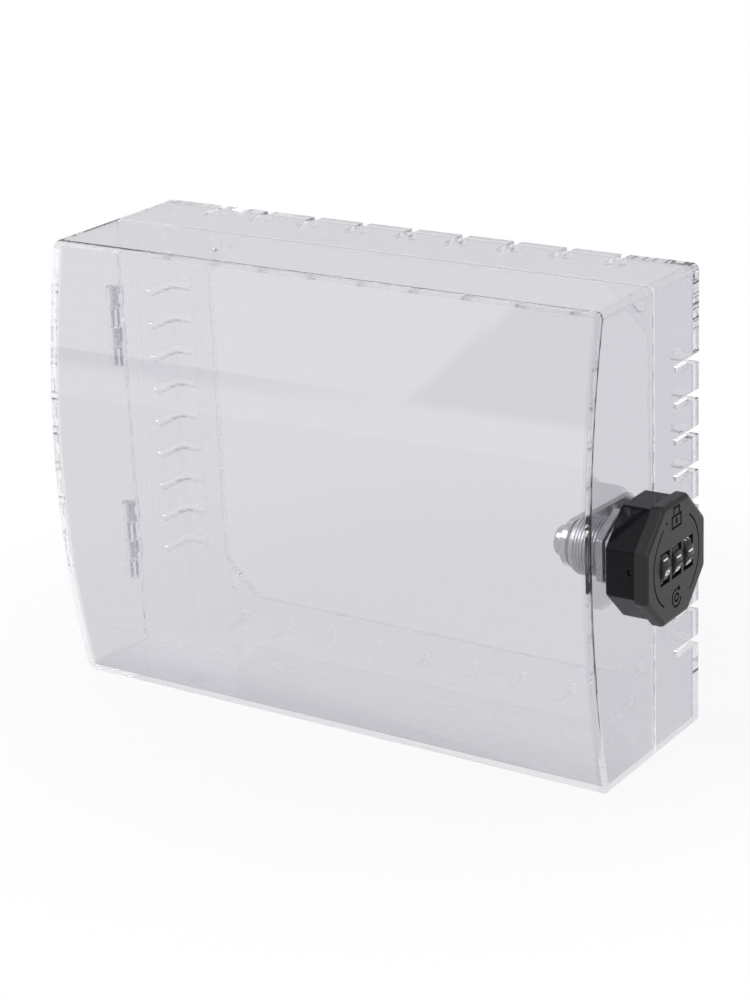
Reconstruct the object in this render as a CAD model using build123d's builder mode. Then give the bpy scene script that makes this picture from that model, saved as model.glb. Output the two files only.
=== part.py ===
"""Clear lock box that covers a thermostat on a wall, with a three-dial combination cam lock.

Millimetres. X runs across the box to the lock side, Y points into the wall, Z points up.
The origin is the centre of the four wall screw holes, on the wall plane Y = 0.
"""
from build123d import *
from math import sqrt
import os

# Clear box
box_width = 200.0
box_height = 150.0
base_depth = 29.0
cover_depth = 30.5
front_bulge = 9.0
wall = 2.4
hinge_side_radius = 3.0
lock_side_radius = 2.0
least_radius = 0.6
front_edge_radius = 0.8
overcut = 1.0

# Back flange against the wall
flange_thickness = 2.4
flange_side_width = 18.0
flange_end_width = 11.5
opening_chamfer = 12.5
opening_corner_radius = 3.0
screw_spacing_x = 158.0
screw_spacing_z = 120.0
screw_hole_radius = 2.2

# Vent slots round the back edge
vent_count = 9
vent_width = 3.0
end_vent_pitch = 18.8
end_vent_run = 12.0
end_vent_reach = 5.0
side_vent_pitch = 11.5
side_vent_run = 15.0
side_vent_reach = 10.0

# Hinges on the left wall
hinge_stand_off = 2.7
knuckle_radius = 2.5
knuckle_pitch = 6.8
knuckle_gap = 0.2
knuckle_count = 4
hinge_height = 38.0
pin_radius = 1.25
pin_clearance = 0.05
pin_tip = 0.3
leaf_bite = 0.6

# Keeper that the cam hooks behind
keeper_height = 14.0
keeper_reach = 9.6
keeper_thickness = 2.5
keeper_front = 4.0

# Lock axis, along X through the cover's right wall
lock_y = -48.5
lock_z = 0.0
fit_clearance = 0.05

# Threaded barrel, its outside hex and its inside nut
hex_across = 22.0
hex_thickness = 3.2
hex_chamfer = 0.5
barrel_radius = 9.0
barrel_length = 13.7
barrel_flat = 7.8
barrel_bore = 6.0
hole_clearance = 0.15
thread_pitch = 1.5
thread_depth = 0.75
nut_thickness = 2.5

# Quarter-turn stop
stop_orbit = 8.6
stop_radius = 1.0
stop_depth = 1.5
stop_angle = 200.0
quarter_turn = 90.0
stop_gap = 0.2

# Knob
body_across = 34.5
body_length = 10.0
body_wall = 1.8
body_floor = 1.3
body_edge = 1.2
body_back_edge = 0.6
face_across = 37.0
face_length = 4.2
face_corner = 2.2
face_edge = 1.5
face_back_edge = 0.4
face_skin = 1.0

# Dials
dial_pitch = 7.3
dial_radius = 6.5
dial_width = 4.2
dial_depth = 5.5
dial_digits = 10
dial_notch = 0.5
window_width = 6.0
window_height = 10.0
window_radius = 0.3
pocket_margin = 0.4
axle_radius = 1.2
ring_radius = 3.0
ring_flange_radius = 4.2
ring_flange_width = 1.0
ring_hub_radius = 2.2
gate_width = 1.4
gate_depth = 0.8
gate_angles = (30.0, 150.0, 260.0)

# Bearing ribs, latch bar and springs inside the knob
rib_thickness = 1.4
rib_height = 6.0
bar_size = 2.4
bar_height = 1.8
bar_gap = 0.6
tooth_width = 0.8
tooth_gap = 0.15
shelf_thickness = 1.2
shelf_drop = 11.5
coil_radius = 1.0
coil_wire = 0.15
coil_turns = 4
coil_offset = 7.0
leaf_thickness = 0.3
leaf_gap = 0.3
leaf_slot = 1.6

# Screws that hold the knob's face
face_screw_offset = 12.6
face_screw_radius = 0.9
face_screw_head = 1.8
face_screw_head_height = 1.4
face_screw_bite = 2.5
boss_radius = 2.6

# Reset pin in the side of the knob
reset_radius = 1.1
reset_flange_radius = 1.35
reset_flange = 0.8
reset_sink = 0.6
reset_travel = 0.8
reset_x = 8.3
reset_z = 1.0

# Spindle, cam and the screw that clamps the cam
tenon_outer = 7.0
tenon_inner = 6.4
spindle_overhang = 1.3
cam_thickness = 2.0
cam_radius = 7.3
cam_reach = 31.5
cam_tip_half_width = 6.0
cam_tip_corner = 1.5
cam_tip_height = 11.0
cam_bend_radius = 1.0
flat_washer_radius = 5.4
flat_washer_thickness = 0.7
spring_washer_radius = 4.9
spring_washer_thickness = 0.8
spring_washer_split = 0.9
cam_screw_head = 4.7
cam_screw_head_height = 2.4
cam_screw_radius = 2.0
cam_screw_length = 8.0
cam_screw_slot = 1.0

# Engraving on the knob's face
engrave_depth = 0.5
engrave_width = 0.7
ring_groove_width = 0.55
ring_groove_radius = 14.2
ring_groove_half_angle = 56.0
padlock_z = 12.3
padlock_width = 6.2
padlock_height = 4.2
padlock_corner = 0.5
shackle_width = 4.0
shackle_height = 2.5
keyhole_width = 1.0
keyhole_height = 1.8
arrow_z = -11.5
arrow_radius = 2.8
arrow_start = 60.0
arrow_sweep = 290.0
arrow_head = 1.2
arrow_hub = 1.5
index_gap = 0.8
index_length = 0.9
index_dot_y = -6.2
index_dot_z = 13.4
index_dot_radius = 0.45

# Worked out from the sizes above
half_width = box_width / 2
half_height = box_height / 2
front_edge_y = -(base_depth + cover_depth)
hinge_x = -(half_width + hinge_stand_off)
hinge_y = -base_depth
bulge_radius = (half_height**2 + front_bulge**2) / (2 * front_bulge)
bulge_centre_y = front_edge_y - front_bulge + bulge_radius
knob_back = half_width + hex_thickness
floor_x = knob_back + body_floor
face_back = knob_back + body_length
face_front = face_back + face_length
dial_x = face_front - dial_depth
barrel_end = half_width - barrel_length
cam_front = barrel_end - spindle_overhang
cam_back = cam_front - cam_thickness
flat_washer_back = cam_back - flat_washer_thickness
spring_washer_back = flat_washer_back - spring_washer_thickness
rib_inner = dial_pitch * 1.5 + fit_clearance
rib_outer = rib_inner + rib_thickness
bar_top = -(dial_radius + bar_gap)
bar_bottom = bar_top - bar_height
lock_axis = Axis((0, lock_y, lock_z), (1, 0, 0))

os.makedirs("parts", exist_ok=True)


def lock_plane(x):
    """Plane across the lock axis: its own x is world Y, its own y is world Z."""
    return Plane(origin=(x, lock_y, lock_z), x_dir=(0, 1, 0), z_dir=(1, 0, 0))


def side_plane(y):
    """Plane along the dials, y measured from the lock axis: its own x is world X, its own y is world Z."""
    return Plane(origin=(0, lock_y + y, lock_z), x_dir=(1, 0, 0), z_dir=(0, -1, 0))


def box_outline(plane, inset=0.0):
    """Box outline seen from the front, drawn in by the inset."""
    with BuildSketch(plane) as outline:
        Rectangle(box_width - 2 * inset, box_height - 2 * inset)
        hinge_corners = outline.vertices().group_by(Axis.X)[0]
        fillet(hinge_corners, max(hinge_side_radius - inset, least_radius))
        lock_corners = outline.vertices().group_by(Axis.X)[-1]
        fillet(lock_corners, max(lock_side_radius - inset, least_radius))
    return outline.sketch


def cover_side(inset=0.0, back=0.0):
    """Side view of the cover, drawn in by the inset and let out at the seam by back."""
    z = half_height - inset
    radius = bulge_radius - inset
    edge_y = bulge_centre_y - sqrt(radius**2 - z**2)
    middle_y = bulge_centre_y - radius
    seam_y = -base_depth + back
    with BuildSketch(Plane.YZ) as profile:
        with BuildLine():
            Line((seam_y, z), (edge_y, z))
            ThreePointArc((edge_y, z), (middle_y, 0), (edge_y, -z))
            Polyline((edge_y, -z), (seam_y, -z), (seam_y, z))
        make_face()
    return profile.sketch


def octagon(across):
    """Octagon with its flats to the front, back, top and bottom."""
    RegularPolygon(radius=across / 2, side_count=8, major_radius=False, rotation=22.5)


def hexagon(across):
    """Hexagon with one flat to the front of the box."""
    RegularPolygon(radius=across / 2, side_count=6, major_radius=False, rotation=30)


def arc_slot(centre, radius, start, sweep, width):
    """Curved slot of one width along an arc, its angles in degrees."""
    SlotArc(Edge.make_circle(radius, Plane(centre), start, start + sweep), width)


def knuckle_levels(first):
    """Bottom heights of every second knuckle of both hinges, counted from the top."""
    length = knuckle_pitch * knuckle_count
    levels = []
    for centre in (hinge_height, -hinge_height):
        for index in range(first, knuckle_count, 2):
            levels.append(centre + length / 2 - (index + 1) * knuckle_pitch + knuckle_gap / 2)
    return levels


def add_knuckles(first, side):
    """Knuckles on the left wall, with feet that run to the base (side 1) or the cover (side -1)."""
    foot_x = hinge_stand_off + leaf_bite
    for level in knuckle_levels(first):
        with BuildSketch(Plane.XY.offset(level)) as knuckle:
            with Locations((hinge_x, hinge_y)):
                Circle(knuckle_radius)
            with Locations((hinge_x + foot_x / 2, hinge_y + side * knuckle_radius / 2)):
                Rectangle(foot_x, knuckle_radius)
            with Locations((hinge_x, hinge_y)):
                Circle(pin_radius + pin_clearance, mode=Mode.SUBTRACT)
        extrude(knuckle.sketch, amount=knuckle_pitch - knuckle_gap)


def save(piece, name):
    """Label a finished piece and write it out."""
    piece.part.label = name
    export_step(piece.part, f"parts/{name}.step")


# Base frame: the open box that is screwed to the wall
with BuildPart() as base_frame:
    extrude(box_outline(Plane.XZ), amount=base_depth)
    extrude(box_outline(Plane.XZ.offset(flange_thickness), wall), amount=base_depth, mode=Mode.SUBTRACT)
    with BuildSketch(Plane.XZ) as opening:
        Rectangle(box_width - 2 * flange_side_width, box_height - 2 * flange_end_width)
        chamfer(opening.vertices(), opening_chamfer)
        fillet(opening.vertices(), opening_corner_radius)
    extrude(amount=flange_thickness, mode=Mode.SUBTRACT)
    with Locations(Plane.XZ.offset(flange_thickness).location):
        with GridLocations(screw_spacing_x, screw_spacing_z, 2, 2):
            Hole(screw_hole_radius, flange_thickness)
    for top in (1, -1):
        level = Plane.XY.offset(top * half_height)
        with BuildSketch(level):
            with GridLocations(end_vent_pitch, 0, vent_count, 1):
                SlotOverall(2 * end_vent_run, vent_width, rotation=90)
        extrude(amount=-top * end_vent_reach, mode=Mode.SUBTRACT)
    for side in (1, -1):
        with BuildSketch(Plane.YZ.offset(side * half_width)):
            with GridLocations(0, side_vent_pitch, 1, vent_count):
                SlotOverall(2 * side_vent_run, vent_width)
        extrude(amount=-side * side_vent_reach, mode=Mode.SUBTRACT)
    keeper_y = -base_depth + keeper_front
    with BuildSketch(Plane.XY.offset(-keeper_height / 2)):
        with Locations((half_width - wall, keeper_y)):
            Rectangle(keeper_reach, keeper_thickness, align=(Align.MAX, Align.MIN))
    extrude(amount=keeper_height)
    add_knuckles(0, 1)
save(base_frame, "base_frame")

# Front cover: bulged clear shell that swings on the hinges
with BuildPart() as front_cover:
    extrude(cover_side(), amount=half_width, both=True)
    depth_edges = front_cover.edges().filter_by(Axis.Y)
    fillet(depth_edges.group_by(Axis.X)[0], hinge_side_radius)
    fillet(depth_edges.group_by(Axis.X)[-1], lock_side_radius)
    fillet(front_cover.faces().sort_by(Axis.Y)[0].edges(), front_edge_radius)
    extrude(cover_side(wall, overcut), amount=half_width - wall, both=True, mode=Mode.SUBTRACT)
    with BuildSketch(lock_plane(half_width)):
        Circle(barrel_radius + hole_clearance)
        with Locations((0, -barrel_flat - hole_clearance)):
            Rectangle(4 * barrel_radius, barrel_radius, align=(Align.CENTER, Align.MAX), mode=Mode.SUBTRACT)
    extrude(amount=-wall, mode=Mode.SUBTRACT)
    add_knuckles(1, -1)
save(front_cover, "front_cover")

# Hinge pins
for name, height in (("hinge_pin_upper", hinge_height), ("hinge_pin_lower", -hinge_height)):
    pin_length = knuckle_pitch * knuckle_count - knuckle_gap
    with BuildPart() as pin:
        with BuildSketch(Plane.XY.offset(height - pin_length / 2)):
            with Locations((hinge_x, hinge_y)):
                Circle(pin_radius)
        extrude(amount=pin_length)
        chamfer(pin.edges().filter_by(GeomType.CIRCLE), pin_tip)
    save(pin, name)

# Barrel: hex outside the wall, threaded sleeve through it
with BuildPart() as lock_barrel:
    with BuildSketch(lock_plane(half_width)):
        hexagon(hex_across)
    extrude(amount=hex_thickness)
    chamfer(lock_barrel.faces().sort_by(Axis.X)[-1].edges(), hex_chamfer)
    with BuildSketch(side_plane(0)):
        with BuildLine():
            points = [(half_width, 0), (half_width, barrel_radius)]
            groove_count = int((barrel_length - wall - thread_depth) / thread_pitch)
            for index in range(groove_count):
                start = half_width - wall - index * thread_pitch
                points.append((start, barrel_radius))
                points.append((start - thread_pitch / 2, barrel_radius - thread_depth))
            points.append((half_width - wall - groove_count * thread_pitch, barrel_radius))
            points.append((barrel_end + thread_depth, barrel_radius))
            points.append((barrel_end, barrel_radius - thread_depth))
            points.append((barrel_end, 0))
            Polyline(*points, close=True)
        make_face()
    revolve(axis=lock_axis)
    with BuildSketch(lock_plane(half_width)):
        with Locations((0, -barrel_flat)):
            Rectangle(4 * barrel_radius, barrel_radius, align=(Align.CENTER, Align.MAX))
    extrude(amount=-barrel_length, mode=Mode.SUBTRACT)
    with BuildSketch(lock_plane(barrel_end)):
        Circle(barrel_bore)
    extrude(amount=barrel_length + hex_thickness, mode=Mode.SUBTRACT)
    with BuildSketch(lock_plane(knob_back)):
        arc_slot((0, 0), stop_orbit, stop_angle - quarter_turn, quarter_turn, 2 * (stop_radius + stop_gap))
    extrude(amount=-stop_depth, mode=Mode.SUBTRACT)
save(lock_barrel, "lock_barrel")

# Thin nut that clamps the barrel from inside the cover
with BuildPart() as lock_nut:
    with BuildSketch(lock_plane(half_width - wall)):
        hexagon(hex_across)
    extrude(amount=-nut_thickness)
    chamfer(lock_nut.faces().sort_by(Axis.X)[0].edges(), hex_chamfer)
    with BuildSketch(lock_plane(half_width - wall)):
        Circle(barrel_radius + fit_clearance)
    extrude(amount=-nut_thickness, mode=Mode.SUBTRACT)
save(lock_nut, "lock_nut")

# Spindle: turns in the barrel and carries the knob and the cam on square tenons
with BuildPart() as spindle:
    with BuildSketch(lock_plane(cam_front)):
        Circle(barrel_bore - fit_clearance)
    extrude(amount=knob_back - cam_front)
    with BuildSketch(lock_plane(knob_back)):
        Rectangle(tenon_outer, tenon_outer)
    extrude(amount=body_floor)
    with BuildSketch(lock_plane(cam_front)):
        Rectangle(tenon_inner, tenon_inner)
    extrude(amount=-(cam_thickness - fit_clearance))
    with BuildSketch(lock_plane(cam_back)):
        Circle(cam_screw_radius + fit_clearance)
    extrude(amount=cam_screw_length, mode=Mode.SUBTRACT)
save(spindle, "spindle")

# Knob body: octagonal cup behind the face
with BuildPart() as knob_body:
    with BuildSketch(lock_plane(knob_back)):
        octagon(body_across)
    extrude(amount=body_length)
    fillet(knob_body.edges().filter_by(Axis.X), body_edge)
    chamfer(knob_body.faces().sort_by(Axis.X)[0].edges(), body_back_edge)
    with BuildSketch(lock_plane(floor_x)):
        octagon(body_across - 2 * body_wall)
    extrude(amount=body_length, mode=Mode.SUBTRACT)
    with BuildSketch(lock_plane(floor_x)):
        with Locations((0, face_screw_offset), (0, -face_screw_offset)):
            Circle(boss_radius)
        for side in (1, -1):
            with Locations((side * (rib_inner + rib_outer) / 2, 0)):
                Rectangle(rib_thickness, rib_height)
        with Locations((0, -shelf_drop)):
            Rectangle(2 * rib_inner, shelf_thickness, align=(Align.CENTER, Align.MAX))
    extrude(amount=face_back - floor_x)
    for side in (1, -1):
        with BuildSketch(side_plane(side * (rib_inner + rib_outer) / 2)):
            with Locations((dial_x, 0)):
                Circle(axle_radius + fit_clearance)
                Rectangle(dial_radius, 2 * (axle_radius + fit_clearance), align=(Align.MIN, Align.CENTER))
        extrude(amount=rib_thickness / 2 + fit_clearance, both=True, mode=Mode.SUBTRACT)
    with BuildSketch(lock_plane(knob_back)):
        Rectangle(tenon_outer + 2 * fit_clearance, tenon_outer + 2 * fit_clearance)
        with PolarLocations(stop_orbit, 1, start_angle=stop_angle):
            Circle(stop_radius + fit_clearance)
    extrude(amount=body_floor, mode=Mode.SUBTRACT)
    with BuildSketch(lock_plane(knob_back)):
        with Locations((0, face_screw_offset), (0, -face_screw_offset)):
            Circle(face_screw_head + fit_clearance)
    extrude(amount=face_screw_head_height, mode=Mode.SUBTRACT)
    with BuildSketch(lock_plane(knob_back)):
        with Locations((0, face_screw_offset), (0, -face_screw_offset)):
            Circle(face_screw_radius + fit_clearance)
    extrude(amount=body_length, mode=Mode.SUBTRACT)
    with BuildSketch(Plane.XZ.offset(body_across / 2 - lock_y)):
        with Locations((knob_back + reset_x, lock_z + reset_z)):
            Circle(reset_radius + fit_clearance)
    extrude(amount=-body_wall, mode=Mode.SUBTRACT)
save(knob_body, "knob_body")

# Knob face: front plate with the dial windows, symbols and index marks
with BuildPart() as knob_face:
    with BuildSketch(lock_plane(face_back)):
        octagon(face_across)
    extrude(amount=face_length)
    fillet(knob_face.edges().filter_by(Axis.X), face_corner)
    fillet(knob_face.faces().sort_by(Axis.X)[-1].edges(), face_edge)
    chamfer(knob_face.faces().sort_by(Axis.X)[0].edges(), face_back_edge)
    with BuildSketch(lock_plane(face_back)):
        Rectangle(2 * rib_inner, 2 * (dial_radius + pocket_margin) + 2 * leaf_thickness)
    extrude(amount=face_length - face_skin, mode=Mode.SUBTRACT)
    with BuildSketch(lock_plane(face_front)):
        with GridLocations(dial_pitch, 0, 3, 1):
            RectangleRounded(window_width, window_height, window_radius)
    extrude(amount=-face_skin, mode=Mode.SUBTRACT)
    with BuildSketch(lock_plane(face_back)):
        with Locations((0, face_screw_offset), (0, -face_screw_offset)):
            Circle(face_screw_radius + fit_clearance)
    extrude(amount=face_screw_bite, mode=Mode.SUBTRACT)
    with BuildSketch(lock_plane(face_front)):
        for middle in (0, 180):
            first = middle - ring_groove_half_angle
            arc_slot((0, 0), ring_groove_radius, first, 2 * ring_groove_half_angle, ring_groove_width)
        # Closed padlock: shackle, body outline and keyhole
        inner_line = 2 * engrave_width
        with Locations((0, padlock_z + (padlock_height + shackle_height - engrave_width) / 2)):
            Rectangle(shackle_width, shackle_height + engrave_width)
            Rectangle(shackle_width - inner_line, shackle_height - engrave_width, mode=Mode.SUBTRACT)
        with Locations((0, padlock_z)):
            RectangleRounded(padlock_width, padlock_height, padlock_corner)
            Rectangle(padlock_width - inner_line, padlock_height - inner_line, mode=Mode.SUBTRACT)
            Rectangle(keyhole_width, keyhole_height)
        # Turn arrow: open ring with a head, round a small ring
        arc_slot((0, arrow_z), arrow_radius, arrow_start, arrow_sweep, engrave_width)
        with Locations((0, arrow_z)):
            Circle(arrow_hub)
            Circle(arrow_hub - engrave_width, mode=Mode.SUBTRACT)
            with PolarLocations(arrow_radius, 1, start_angle=arrow_start):
                RegularPolygon(arrow_head, 3, rotation=-90)
        # Index line beside the dials and index dot beside the padlock
        with Locations((-(dial_pitch + window_width / 2 + index_gap + index_length / 2), 0)):
            Rectangle(index_length, engrave_width)
        with Locations((index_dot_y, index_dot_z)):
            Circle(index_dot_radius)
    extrude(amount=-engrave_depth, mode=Mode.SUBTRACT)
save(knob_face, "knob_face")

# Stop pin in the knob, running in the barrel's quarter-turn groove
with BuildPart() as stop_pin:
    with BuildSketch(lock_plane(floor_x)):
        with PolarLocations(stop_orbit, 1, start_angle=stop_angle):
            Circle(stop_radius)
    extrude(amount=-(body_floor + stop_depth - stop_gap))
save(stop_pin, "stop_pin")

# Two screws from behind that hold the knob's face
with BuildPart() as face_screws:
    with BuildSketch(lock_plane(knob_back + stop_gap)):
        with Locations((0, face_screw_offset), (0, -face_screw_offset)):
            Circle(face_screw_head)
    extrude(amount=face_screw_head_height - stop_gap)
    with BuildSketch(lock_plane(knob_back + face_screw_head_height)):
        with Locations((0, face_screw_offset), (0, -face_screw_offset)):
            Circle(face_screw_radius)
    extrude(amount=face_back + face_screw_bite - stop_gap - knob_back - face_screw_head_height)
    with BuildSketch(lock_plane(knob_back + stop_gap)):
        with Locations((0, face_screw_offset), (0, -face_screw_offset)):
            Rectangle(2 * face_screw_radius, face_screw_radius / 2)
            Rectangle(face_screw_radius / 2, 2 * face_screw_radius)
    extrude(amount=face_screw_head_height / 2, mode=Mode.SUBTRACT)
save(face_screws, "face_screws")

# Axle that the three dials turn on
with BuildPart() as dial_axle:
    with BuildSketch(side_plane(0)):
        with Locations((dial_x, 0)):
            Circle(axle_radius)
    extrude(amount=rib_outer, both=True)
save(dial_axle, "dial_axle")

# Dial wheels and the code ring inside each of them
for index in range(3):
    middle = (index - 1) * dial_pitch
    with BuildPart() as dial_wheel:
        with BuildSketch(side_plane(middle)):
            with Locations((dial_x, 0)):
                Circle(dial_radius)
                with PolarLocations(dial_radius, dial_digits, start_angle=180 / dial_digits):
                    Circle(dial_notch, mode=Mode.SUBTRACT)
                Circle(ring_radius + fit_clearance, mode=Mode.SUBTRACT)
        extrude(amount=dial_width / 2, both=True)
    save(dial_wheel, f"dial_wheel_{index + 1}")

    with BuildPart() as code_ring:
        with BuildSketch(side_plane(middle)):
            with Locations((dial_x, 0)):
                Circle(ring_radius)
        extrude(amount=dial_width / 2, both=True)
        with BuildSketch(side_plane(middle)):
            with Locations((dial_x, 0)):
                Circle(ring_hub_radius)
        extrude(amount=(dial_pitch - fit_clearance) / 2, both=True)
        with BuildSketch(side_plane(middle + dial_width / 2)):
            with Locations((dial_x, 0)):
                Circle(ring_flange_radius)
                with PolarLocations(ring_flange_radius, 1, start_angle=gate_angles[index]):
                    Rectangle(2 * gate_depth, gate_width, mode=Mode.SUBTRACT)
        extrude(amount=-ring_flange_width)
        with BuildSketch(side_plane(middle)):
            with Locations((dial_x, 0)):
                Circle(axle_radius + fit_clearance)
        extrude(amount=dial_pitch, both=True, mode=Mode.SUBTRACT)
    save(code_ring, f"code_ring_{index + 1}")

# Latch bar: a comb whose teeth stand off the code rings until the gates line up
with BuildPart() as latch_bar:
    with BuildSketch(lock_plane(dial_x - bar_size / 2)):
        with Locations((0, bar_top)):
            Rectangle(2 * (rib_inner - fit_clearance), bar_height, align=(Align.CENTER, Align.MAX))
    extrude(amount=bar_size)
    tooth_length = dial_radius + bar_gap - ring_flange_radius - tooth_gap
    with BuildSketch(lock_plane(dial_x - tooth_width / 2)):
        for index in range(3):
            tooth_y = (index - 1) * dial_pitch + (dial_width + ring_flange_width) / 2
            with Locations((tooth_y, bar_top)):
                Rectangle(tooth_width, tooth_length, align=(Align.CENTER, Align.MIN))
    extrude(amount=tooth_width)
save(latch_bar, "latch_bar")

# Two small coil springs that push the latch bar up
with BuildPart() as latch_springs:
    spring_length = bar_bottom + shelf_drop - 2 * coil_wire - fit_clearance
    for side in (1, -1):
        foot = (dial_x, lock_y + side * coil_offset, lock_z - shelf_drop + coil_wire + fit_clearance / 2)
        with BuildLine():
            coil = Helix(spring_length / coil_turns, spring_length, coil_radius, center=foot)
        with BuildSketch(Plane(origin=coil @ 0, z_dir=coil % 0)):
            Circle(coil_wire)
        sweep(path=coil, is_frenet=True)
save(latch_springs, "latch_springs")

# Leaf spring with one finger over each dial
with BuildPart() as detent_spring:
    leaf_level = dial_radius + leaf_gap
    leaf_start = floor_x + fit_clearance
    with BuildSketch(lock_plane(leaf_start)):
        with Locations((0, leaf_level)):
            Rectangle(2 * (rib_inner - fit_clearance), leaf_thickness, align=(Align.CENTER, Align.MIN))
    extrude(amount=face_back - floor_x - 2 * fit_clearance)
    with BuildSketch(Plane.XY.offset(lock_z + leaf_level)):
        for side in (0.5, -0.5):
            with Locations((dial_x - dial_radius / 2, lock_y + side * dial_pitch)):
                Rectangle(2 * dial_radius, leaf_slot, align=(Align.MIN, Align.CENTER))
    extrude(amount=leaf_thickness, mode=Mode.SUBTRACT)
save(detent_spring, "detent_spring")

# Reset pin behind the small hole in the side of the knob
with BuildPart() as reset_pin:
    outside = body_across / 2 - lock_y
    pin_depth = body_across / 2 - rib_outer - reset_sink - reset_travel - 2 * fit_clearance
    with BuildSketch(Plane.XZ.offset(outside - reset_sink)):
        with Locations((knob_back + reset_x, lock_z + reset_z)):
            Circle(reset_radius)
    extrude(amount=-pin_depth)
    with BuildSketch(Plane.XZ.offset(outside - body_wall)):
        with Locations((knob_back + reset_x, lock_z + reset_z)):
            Circle(reset_flange_radius)
    extrude(amount=-reset_flange)
save(reset_pin, "reset_pin")

# Cam: flat hook whose bent tip sits behind the keeper
with BuildPart() as cam:
    with BuildSketch(lock_plane(cam_back)):
        Circle(cam_radius)
        with Locations((cam_reach - cam_tip_corner, 0)):
            with GridLocations(0, 2 * (cam_tip_half_width - cam_tip_corner), 1, 2):
                Circle(cam_tip_corner)
        make_hull()
    extrude(amount=cam_thickness)
    with BuildSketch(lock_plane(cam_back)):
        with Locations((cam_reach, 0)):
            tip_width = 2 * (cam_tip_half_width - cam_tip_corner)
            Rectangle(cam_thickness, tip_width, align=(Align.MAX, Align.CENTER))
    extrude(amount=cam_tip_height)
    bend = cam.edges().filter_by(Axis.Z).sort_by(Axis.X)[:2].sort_by(Axis.Y)[-1]
    fillet(bend, cam_bend_radius)
    with BuildSketch(lock_plane(cam_back)):
        Rectangle(tenon_inner + 2 * fit_clearance, tenon_inner + 2 * fit_clearance)
    extrude(amount=cam_thickness, mode=Mode.SUBTRACT)
save(cam, "cam")

# Washers and screw that clamp the cam
with BuildPart() as cam_flat_washer:
    with BuildSketch(lock_plane(cam_back)):
        Circle(flat_washer_radius)
        Circle(cam_screw_radius + fit_clearance, mode=Mode.SUBTRACT)
    extrude(amount=-flat_washer_thickness)
save(cam_flat_washer, "cam_flat_washer")

with BuildPart() as cam_spring_washer:
    with BuildSketch(lock_plane(flat_washer_back)):
        Circle(spring_washer_radius)
        Circle(cam_screw_radius + fit_clearance, mode=Mode.SUBTRACT)
        with Locations((0, -spring_washer_radius / 2)):
            Rectangle(spring_washer_split, spring_washer_radius, mode=Mode.SUBTRACT)
    extrude(amount=-spring_washer_thickness)
save(cam_spring_washer, "cam_spring_washer")

with BuildPart() as cam_screw:
    with BuildSketch(lock_plane(spring_washer_back)):
        Circle(cam_screw_head)
    extrude(amount=-cam_screw_head_height)
    fillet(cam_screw.faces().sort_by(Axis.X)[0].edges(), cam_screw_head_height / 2)
    with BuildSketch(lock_plane(spring_washer_back - cam_screw_head_height)):
        Rectangle(cam_screw_head, cam_screw_slot)
        Rectangle(cam_screw_slot, cam_screw_head)
    extrude(amount=cam_screw_head_height / 2, mode=Mode.SUBTRACT)
    with BuildSketch(lock_plane(spring_washer_back)):
        Circle(cam_screw_radius)
    extrude(amount=cam_back - spring_washer_back + cam_screw_length - stop_gap)
save(cam_screw, "cam_screw")
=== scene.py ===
"""Visual model of a clear wall box with a dial combination cam lock.

Metres. X runs across the box to the lock side, Y points into the wall, Z points up.
"""

from math import cos, pi, radians, sin, sqrt

import bmesh
import bpy
from bpy.props import FloatProperty, FloatVectorProperty, IntProperty, PointerProperty
from bpy.types import Operator, Panel, PropertyGroup
from mathutils import Matrix, Vector


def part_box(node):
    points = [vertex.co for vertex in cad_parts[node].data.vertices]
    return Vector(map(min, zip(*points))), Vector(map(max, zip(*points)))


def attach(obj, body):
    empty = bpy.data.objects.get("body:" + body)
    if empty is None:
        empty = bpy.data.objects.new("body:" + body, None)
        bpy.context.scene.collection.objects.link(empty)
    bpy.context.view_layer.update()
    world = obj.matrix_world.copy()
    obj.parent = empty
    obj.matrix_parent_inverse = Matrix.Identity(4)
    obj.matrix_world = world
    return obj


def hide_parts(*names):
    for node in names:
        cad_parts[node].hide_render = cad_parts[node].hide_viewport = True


bl_info = {
    "name": "Clear Lock Box",
    "version": (1, 0, 0),
    "blender": (4, 5, 0),
    "location": "View3D > Sidebar > Lock Box",
    "description": "Builds a clear wall box with a hinged cover and a dial combination cam lock",
    "category": "Add Mesh",
}

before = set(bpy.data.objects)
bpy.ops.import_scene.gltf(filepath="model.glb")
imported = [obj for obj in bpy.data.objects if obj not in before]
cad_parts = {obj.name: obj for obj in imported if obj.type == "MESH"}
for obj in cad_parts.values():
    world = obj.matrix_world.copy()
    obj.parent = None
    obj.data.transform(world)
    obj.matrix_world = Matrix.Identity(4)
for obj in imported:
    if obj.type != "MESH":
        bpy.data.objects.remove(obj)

COVER_LOW, COVER_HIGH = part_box("front_cover")
FRAME_LOW, FRAME_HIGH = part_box("base_frame")
PIN_LOW, PIN_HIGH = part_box("hinge_pin_upper")
BARREL_LOW, BARREL_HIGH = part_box("lock_barrel")
NUT_LOW, NUT_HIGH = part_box("lock_nut")
BODY_LOW, BODY_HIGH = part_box("knob_body")
FACE_LOW, FACE_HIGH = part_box("knob_face")
CAM_LOW, CAM_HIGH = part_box("cam")
WHEEL_LOW, WHEEL_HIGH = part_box("dial_wheel_2")

ALONG_LOCK = Matrix.Rotation(pi / 2, 4, "Y")
ALONG_DEPTH = Matrix.Rotation(pi / 2, 4, "X")


def length(label, words, value):
    """A size in metres that a user may change."""
    return FloatProperty(name=label, description=words, default=value, unit="LENGTH", subtype="DISTANCE")


def colour(label, words, value):
    """A colour that a user may change."""
    return FloatVectorProperty(name=label, description=words, default=value, size=3, subtype="COLOR")


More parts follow.
